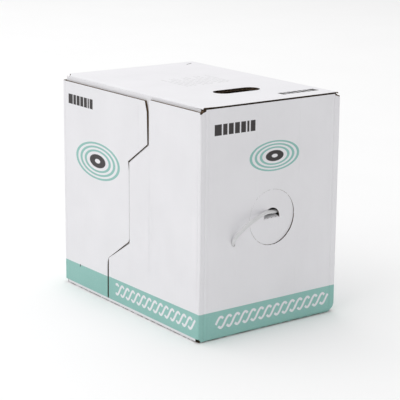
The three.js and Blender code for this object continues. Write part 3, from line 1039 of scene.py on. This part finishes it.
def top_shape(flat, depth):
    """The front left corner's top liner has come up off its flutes, the front edge is pressed down, and the
    whole top sags a little."""
    right, behind = flat[:, 0] + INNER_SIDE, flat[:, 1] + HALF_DEPTH
    lift = np.clip(1 - right / 30, 0, 1) * np.clip(1 - behind / 30, 0, 1)
    height = 0.9 * lift**1.3 * np.clip(1 - 2.2 * depth, 0, 1)
    height -= 0.5 * np.clip(1 - behind / 5.0, 0, 1) ** 2 * np.clip(1 - depth, 0, 1)
    sag = np.cos(np.clip(flat[:, 0] / INNER_SIDE, -1, 1) * QUARTER)
    sag = sag * np.cos(np.clip(flat[:, 1] / HALF_DEPTH, -1, 1) * QUARTER)
    return height - 0.9 * sag


def add_top():
    folds = [Fold(0, -sign * INNER_SIDE, sign, TOP_SIDE_RADIUS, QUARTER) for sign in (1, -1)]
    folds.append(Fold(1, HALF_DEPTH, -1, TOP_REAR_RADIUS, QUARTER))
    x, y = -HALF_WIDTH + 240.0, -HALF_DEPTH + 359.0
    # A small black patch painted near the rear right corner.
    dark_mark = [(x - 8, y - 5), (x + 7, y + 2.2), (x + 8.5, y + 4.6), (x + 6, y + 4.4), (x - 7.5, y - 2.4)]
    prints = [
        *block_mark(-HALF_WIDTH + 175.4, -HALF_DEPTH + 25.8, (71.5, 15.9), turned=True),
        *small_lines(-HALF_WIDTH + 100, -HALF_WIDTH + 196, -HALF_DEPTH + 171, -HALF_DEPTH + 249),
        (dark_mark, "black"),
    ]
    board(
        "top_panel", level_face(HEIGHT), top_outline, folds, prints=prints, shape=top_shape,
        holes=[obround(HAND_HOLE_X, HAND_HOLE_Y, HAND_HOLE_LENGTH, HAND_HOLE_WIDTH)],
    )


def rectangle(x0, y0, x1, y1):
    return [(x0, y0), (x1, y0), (x1, y1), (x0, y1)]


def add_bottom():
    """Its liner swells out past the side flaps' feet as it turns up into the inner flaps."""
    wide = HALF_WIDTH - 0.8

    def outline(inset):
        if inset is not None:
            out, end = INNER_SIDE - inset, HALF_DEPTH - inset
            return rectangle(-out, -end, out, end)
        out, end = wide + FOOT_RADIUS * (QUARTER - 1) + FOOT_RISE, HALF_DEPTH - CREASE_RADIUS * (1 - QUARTER / 2)
        tight, short = wide - FOOT_RADIUS, HALF_DEPTH - CORNER_RELIEF
        return [
            (-out, -short), (-tight, -short), (-tight, -end), (tight, -end), (tight, -short), (out, -short),
            (out, short), (tight, short), (tight, end), (-tight, end), (-tight, short), (-out, short),
        ]

    folds = [Fold(0, -sign * wide, sign, FOOT_RADIUS, QUARTER) for sign in (1, -1)]
    folds += [Fold(1, HALF_DEPTH, -1), Fold(1, -HALF_DEPTH, 1)]
    board("bottom_panel", BOTTOM, outline, folds, step=14.0)


def add_glue_tab():
    (x0, y0, _), (x1, y1, z1) = box_mm("glue_tab")
    taper = 14
    ring = [(x0, y0), (x1, y0), (x1 - taper, y1), (x0 + taper, y1)]
    board("glue_tab", level_face(z1), lambda inset: ring)


# ---------------------------------------------------------------- side flaps

ENDS = ((-1, "front"), (1, "rear"))


def side_prints(sign):
    """The sides' print and a small painted black mark, on both of the outer flaps alike. It is laid out as read
    from outside on the right side, and mirrored for the left one."""
    left, seam = HALF_DEPTH - 335.6, HALF_DEPTH - 248.5
    prints = [
        *band(-HALF_DEPTH - 1, seam, 40.5, 41.8), *band(seam, HALF_DEPTH + 1, 42.6, 44.9),
        *twisted_pair(HALF_DEPTH - 225.7, HALF_DEPTH - 7.7, 27.0),
        *block_mark(HALF_DEPTH - 364.9, 310.3, (73.6, 16.0)),
        *coil_mark(HALF_DEPTH - 278, 228, (65, 30.3)),
        # A small black mark painted just below the band's top edge, apart from the print.
        ([(left, 37.4), (left + 2.8, 37.6), (left + 2.7, 42), (left + 0.6, 41.8)], "black"),
    ]
    return prints if sign > 0 else mirrored(prints)


def outer_flap(sign, side, end, which):
    edge, top = (FRONT_FLAP_EDGE, FRONT_FLAP_TOP) if end < 0 else (REAR_FLAP_EDGE, REAR_FLAP_TOP)
    fold = Fold(0, end * HALF_DEPTH, -end, HINGE_RADIUS, 0.0)
    score, grooves = fold.at(FLAP_SCORE), FLAP_GROOVES[which]

    def outline(inset):
        hinge = fold.at(fold.start if inset is None else inset)
        ring = [(back - HALF_DEPTH, height) for back, height in edge]
        ring += [(hinge, FLAP_FOOT), (hinge, edge[0][1])]
        return ring[::end]

    guides = groove_lines(score, FLAP_FOOT + 1, top - 4, 0.7, 1.4)
    for where, low, high, _ in grooves:
        guides += groove_lines(where, low, high, 1.2, 2.6)

    def shape(flat, depth):
        height = groove(flat, score, 0.9, 0.2 if end < 0 else 0.5)
        for where, low, high, deep in grooves:
            height += groove(flat, where, 1.4, deep, low, high)
        away = np.clip(fold.inward * (flat[:, 0] - fold.corner) / HALF_DEPTH, 0, 1.4)
        return (height - 0.35 * away) * np.clip(1 - depth, 0, 1)

    board(
        f"outer_{which}_flap_{side}", side_face(sign, HALF_WIDTH), outline, [fold],
        prints=side_prints(sign), lines=guides, shape=shape,
    )


def inner_flap(sign, side, where):
    node = f"inner_{where}_flap_{side}"
    (_, _, low), (_, half, high) = box_mm(node)
    at_top = where == "top"
    fold = Fold(1, HEIGHT, -1, TOP_SIDE_RADIUS, 0.0) if at_top else Fold(1, 0, 1, FOOT_RADIUS + FOOT_RISE, 0.0)

    def outline(inset):
        crease = fold.at(fold.start if inset is None else inset)
        return rectangle(-half, low, half, crease) if at_top else rectangle(-half, crease, half, high)

    board(node, side_face(sign, INNER_SIDE), outline, [fold], 1, step=12.0)


def crease_strip(sign, side, end, which):
    """The liner that goes round an upright corner and bends where the outer flap is hinged to the wrap."""
    flap = f"outer_{which}_flap_{side}"
    top, band_top = (FRONT_FLAP_TOP - 4.8, 44.7) if end < 0 else (REAR_FLAP_TOP - 2.8, 40.6)
    low = max(FLAP_FOOT, NOTCH) + 0.2
    centre = np.array([sign * (HALF_WIDTH - HINGE_RADIUS), end * (HALF_DEPTH - HINGE_RADIUS)])
    section = []
    for radius, order in ((HINGE_RADIUS, 1), (HINGE_RADIUS - LINER, -1)):
        turns = [QUARTER * k / 10 for k in range(11)][::order]
        section += [centre + radius * np.array([sign * math.sin(t), end * math.cos(t)]) for t in turns]
    build = Build()
    inks = {ink: build.material(PRINT[0][ink]) for ink in ("teal", "white")}
    for ink, start, stop in (("teal", low, band_top), ("white", band_top, top)):
        rings = []
        for z in np.linspace(start, stop, max(2, round((stop - start) / 6))):
            ring = np.array([(x, y, z) for x, y in section])
            if end < 0:
                ahead = np.clip((centre[1] - ring[:, 1]) / HINGE_RADIUS, 0, 1)
                ring[:, 1] -= CORNER_TILT_AT_EDGE * ahead * np.clip((CORNER_TILT_TOP - z) / 12, 0, 1)
            rings.append(settled(ring))
        build.loops(rings, inks[ink])
    strip = build.finish(f"{flap}_crease", None, [], "white_board", outward=True)
    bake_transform(strip)


add_front()
add_exit()
add_exit_tab()
add_back()
add_top()
add_hand_hole_flap()
add_bottom()
add_glue_tab()
for sign, side in SIDES:
    for end, which in ENDS:
        outer_flap(sign, side, end, which)
    for where in ("top", "bottom"):
        inner_flap(sign, side, where)
    for end, which in ENDS:
        crease_strip(sign, side, end, which)


# ---------------------------------------------------------------- the cradle and the reel

AXLE_RADIUS, AXLE_Z = span("axle_tube", 2)
AXLE_BORE = 10.5
BARREL_RADIUS = span("reel_barrel", 2)[0]
BARREL_WALL = 4
FLANGE_RADIUS = span("reel_flange_left", 2)[0]
FLANGE_IN, FLANGE_OUT = (corner[0] for corner in box_mm("reel_flange_right"))
WINDING_RADIUS = span("cable_winding", 2)[0]
WINDING_HALF = box_mm("cable_winding")[1][0]
WINDING_TURNS = 34
WALL_OUTSIDE = box_mm("cradle_wall_right")[1][0]
WALL_SHOULDER = 205.0
BUSHING_RADIUS = 16.7
ROD_RADIUS = 3.0
NUT_FLATS = 10.0
GAP = 0.3


def turned(node, stuff, profile, bore=True, centre=(0.0, AXLE_Z), count=96, shape=None, sign=1):
    """A piece turned about a line along X. profile is (x, radius) round the section where there is a bore,
    or from one end to the other where there is none. shape(x, radius, angles) may change the radius."""
    material, slot = STUFF[stuff]
    build = Build()
    mark = build.material(material)
    angles = np.linspace(0, 2 * math.pi, count, endpoint=False)
    rings = []
    for x, radius in profile:
        reach = shape(x, radius, angles) if shape else np.full(count, float(radius))
        y, z = centre[0] + reach * np.cos(angles), centre[1] + reach * np.sin(angles)
        rings.append(np.column_stack([np.full(count, sign * x), y, z]))
    build.loops(rings, mark, joined=bore)
    body = "reel" if node.startswith(("reel_", "tie_rod_")) else "carton"
    build.finish(f"{node}_{stuff}", body, [node], slot, outward=True)


def tube_section(half, inner, outer, chamfer=0.4):
    """The section of a tube with its four edges taken off."""
    near, far = inner + chamfer, outer - chamfer
    left = [(chamfer - half, inner), (-half, near), (-half, far), (chamfer - half, outer)]
    return [*left, *((-x, radius) for x, radius in left[::-1])]


def cradle_wall(sign, side):
    node = f"cradle_wall_{side}"
    (_, _, foot), (_, half, top) = box_mm(node)
    ring = [
        (-half, foot), (half, foot), (half, WALL_SHOULDER), (half / 2, top), (-half / 2, top),
        (-half, WALL_SHOULDER),
    ]
    hole = ellipse(0, AXLE_Z, AXLE_RADIUS + GAP, AXLE_RADIUS + GAP, 48)
    board(node, side_face(sign, WALL_OUTSIDE), lambda inset: ring, holes=[hole], outer="kraft", step=14.0)


def cradle_floor():
    (x0, y0, _), (x1, y1, top) = box_mm("cradle_floor")
    ring = rectangle(x0, y0, x1, y1)
    board("cradle_floor", level_face(top), lambda inset: ring, across=1, outer="kraft", step=14.0)


def rod_places():
    return [tuple(span(f"tie_rod_{k}", axis)[1] for axis in (1, 2)) for k in (1, 2, 3, 4)]


def add_axle():
    turned("axle_tube", "steel", tube_section(WALL_OUTSIDE, AXLE_BORE, AXLE_RADIUS))
    plug, x = AXLE_BORE - GAP, WALL_OUTSIDE
    profile = [(x - 20, plug - 1.2), (x - 18.8, plug)]
    for at in (x - 15, x - 10.5, x - 6):
        profile += [(at, plug), (at + 0.5, plug - 0.6), (at + 1.5, plug - 0.6), (at + 2, plug)]
    profile += [
        (x + 0.3, plug), (x + 0.3, 29.5), (x + 0.8, 30), (x + 2.5, 30), (x + 3.1, 29.7), (x + 3.3, 29.0),
        (x + 3.3, 24.5), (x + 3.1, 24.0), (x + 2.4, 23.6), (x + 2.4, 9.0), (x + 2.9, 8.4), (x + 2.9, 1.2),
        (x + 2.5, 0.9),
    ]
    for sign, side in SIDES:
        turned(f"axle_cap_{side}", "plastic", profile, bore=False, sign=sign)


def flange(sign, side):
    face = side_face(sign, FLANGE_OUT)
    holes = [ellipse(0, AXLE_Z, BUSHING_RADIUS + GAP, BUSHING_RADIUS + GAP, 48)]
    holes += [ellipse(y, z, ROD_RADIUS + GAP, ROD_RADIUS + GAP, 24) for y, z in rod_places()]
    rim = ellipse(0, AXLE_Z, FLANGE_RADIUS, FLANGE_RADIUS, 144)
    flat, faces, _ = triangulated(rim, holes, (), (), 20.0)
    build = Build()
    mark = build.material(FIBREBOARD)
    sheet = [face.place(flat, np.full(len(flat), height)) for height in (0.0, FLANGE_IN - FLANGE_OUT)]
    build.slab(face.order(faces), *sheet, [mark] * len(faces), mark, mark)
    build.finish(f"reel_flange_{side}_board", "reel", [f"reel_flange_{side}"], "fibreboard", bevel=0.5)


def threaded(x, radius, angles):
    return radius - 0.6 * np.abs((angles / (2 * math.pi) + x) % 1.0 - 0.5)


def hexagonal(x, radius, angles):
    """A nut's bore and faces stay round, and its sides are cut to the hexagon."""
    flats = NUT_FLATS / 2 / np.cos((angles + math.pi / 6) % (math.pi / 3) - math.pi / 6)
    return np.minimum(flats, radius)


def add_reel():
    inner, outer = AXLE_RADIUS + GAP, FLANGE_OUT + GAP
    bushing = [
        (FLANGE_IN + 0.3, inner), (FLANGE_IN, inner + 0.3), (FLANGE_IN, BUSHING_RADIUS - 0.5),
        (FLANGE_IN + 0.5, BUSHING_RADIUS), (outer, BUSHING_RADIUS), (outer, 24.6), (outer + 0.4, 25),
        (outer + 2.0, 25), (outer + 2.5, 24.5), (outer + 2.5, inner + 0.4), (outer + 2.1, inner),
    ]
    for sign, side in SIDES:
        flange(sign, side)
        turned(f"reel_bushing_{side}", "plastic", bushing, sign=sign)
    half = box_mm("reel_barrel")[1][0]
    turned("reel_barrel", "board", tube_section(half, BARREL_RADIUS - BARREL_WALL, BARREL_RADIUS))

    for index, centre in enumerate(rod_places(), start=1):
        end = box_mm(f"tie_rod_{index}")[1][0]
        rod = [*((x, ROD_RADIUS) for x in np.arange(FLANGE_IN - 2, end - 0.4, 0.25)), (end, 2.5)]
        rod = [*((-x, radius) for x, radius in rod[::-1]), *rod]
        turned(f"tie_rod_{index}", "steel", rod, bore=False, centre=centre, count=16, shape=threaded)
        low, bore, corner, face = FLANGE_OUT + GAP, ROD_RADIUS + 0.3, NUT_FLATS / math.sqrt(3), NUT_FLATS / 2 - 0.1
        nut = [
            (low + 0.3, bore), (low, bore + 0.3), (low, face), (low + 0.45, corner), (end - 0.45, corner),
            (end, face), (end, bore + 0.3), (end - 0.3, bore),
        ]
        for sign, side in SIDES:
            turned(f"tie_rod_nut_{index}_{side}", "steel", nut, centre=centre, count=48, shape=hexagonal, sign=sign)


def add_winding():
    """The wound cable: its outer layer turn by turn, over the body of the layers beneath."""
    strand_radius = CABLE_DIAMETER / MM / 2
    pitch = (2 * WINDING_HALF - 2 * strand_radius) / WINDING_TURNS
    middle = WINDING_RADIUS - strand_radius - 0.05
    build = Build()
    mark = build.material(JACKET)
    steps, around = 60, np.arange(10) / 10 * 2 * math.pi
    reach = middle + strand_radius * np.cos(around)
    rings = []
    for k in range(WINDING_TURNS * steps + 1):
        turn = 2 * math.pi * k / steps
        x = -WINDING_HALF + strand_radius + pitch * k / steps + strand_radius * np.sin(around)
        rings.append(np.column_stack([x, reach * math.cos(turn), AXLE_Z + reach * math.sin(turn)]))
    build.loops(rings, mark)

    inner, outer = BARREL_RADIUS + GAP, middle - strand_radius * 0.35
    end, dip = -WINDING_HALF, 1.4 - WINDING_HALF
    left = [(end + 2.0, inner)]
    for layer in np.arange(inner + strand_radius, outer, 2 * strand_radius * 0.9):
        left += [(dip, layer - 2.2), (end, layer), (dip, layer + 2.2)]
    left.append((end + 3.0, outer))
    angles = np.linspace(0, 2 * math.pi, 96, endpoint=False)
    core = [
        np.column_stack([np.full(96, x), radius * np.cos(angles), AXLE_Z + radius * np.sin(angles)])
        for x, radius in [*left, *((-x, radius) for x, radius in left[::-1])]
    ]
    build.loops(core, mark, joined=True)
    build.finish("cable_turns", "reel", ["cable_winding"], "cable_jacket", outward=True, sharp=60.0)


cradle_floor()
for sign, side in SIDES:
    cradle_wall(sign, side)
add_axle()
add_reel()
add_winding()


# ---------------------------------------------------------------- floor and light

def add_floor():
    mesh = bpy.data.meshes.new("floor")
    corners = [(x, y, 0) for x, y in rectangle(-60.0, -60.0, 60.0, 60.0)]
    mesh.from_pydata(corners, [], [(0, 1, 2, 3)])
    mesh.materials.append(floor_paper())
    floor = link("floor", mesh)
    floor.location.z = -0.0004


def add_area(name, place, target, size, power):
    data = bpy.data.lights.new(name, "AREA")
    data.shape = "RECTANGLE"
    data.size, data.size_y = size
    data.energy = power
    lamp = link(name, data)
    lamp.location = place
    lamp.rotation_euler = (Vector(target) - Vector(place)).to_track_quat("-Z", "Y").to_euler()


def add_world():
    world = bpy.data.worlds.new("studio")
    world.use_nodes = True
    background = world.node_tree.nodes["Background"]
    background.inputs["Color"].default_value = (1, 1, 1, 1)
    background.inputs["Strength"].default_value = 0.646
    bpy.context.scene.world = world


add_floor()
add_world()
add_area("key_left", (-2.6, -0.4, 2.4), (0, 0, 0.15), (2.2, 2.2), 14.5)
add_area("overhead", (-0.4, 2.6, 4.6), (-0.1, 1.2, 0), (9.0, 8.0), 190.5)
bpy.context.scene.view_settings.view_transform = "Standard"
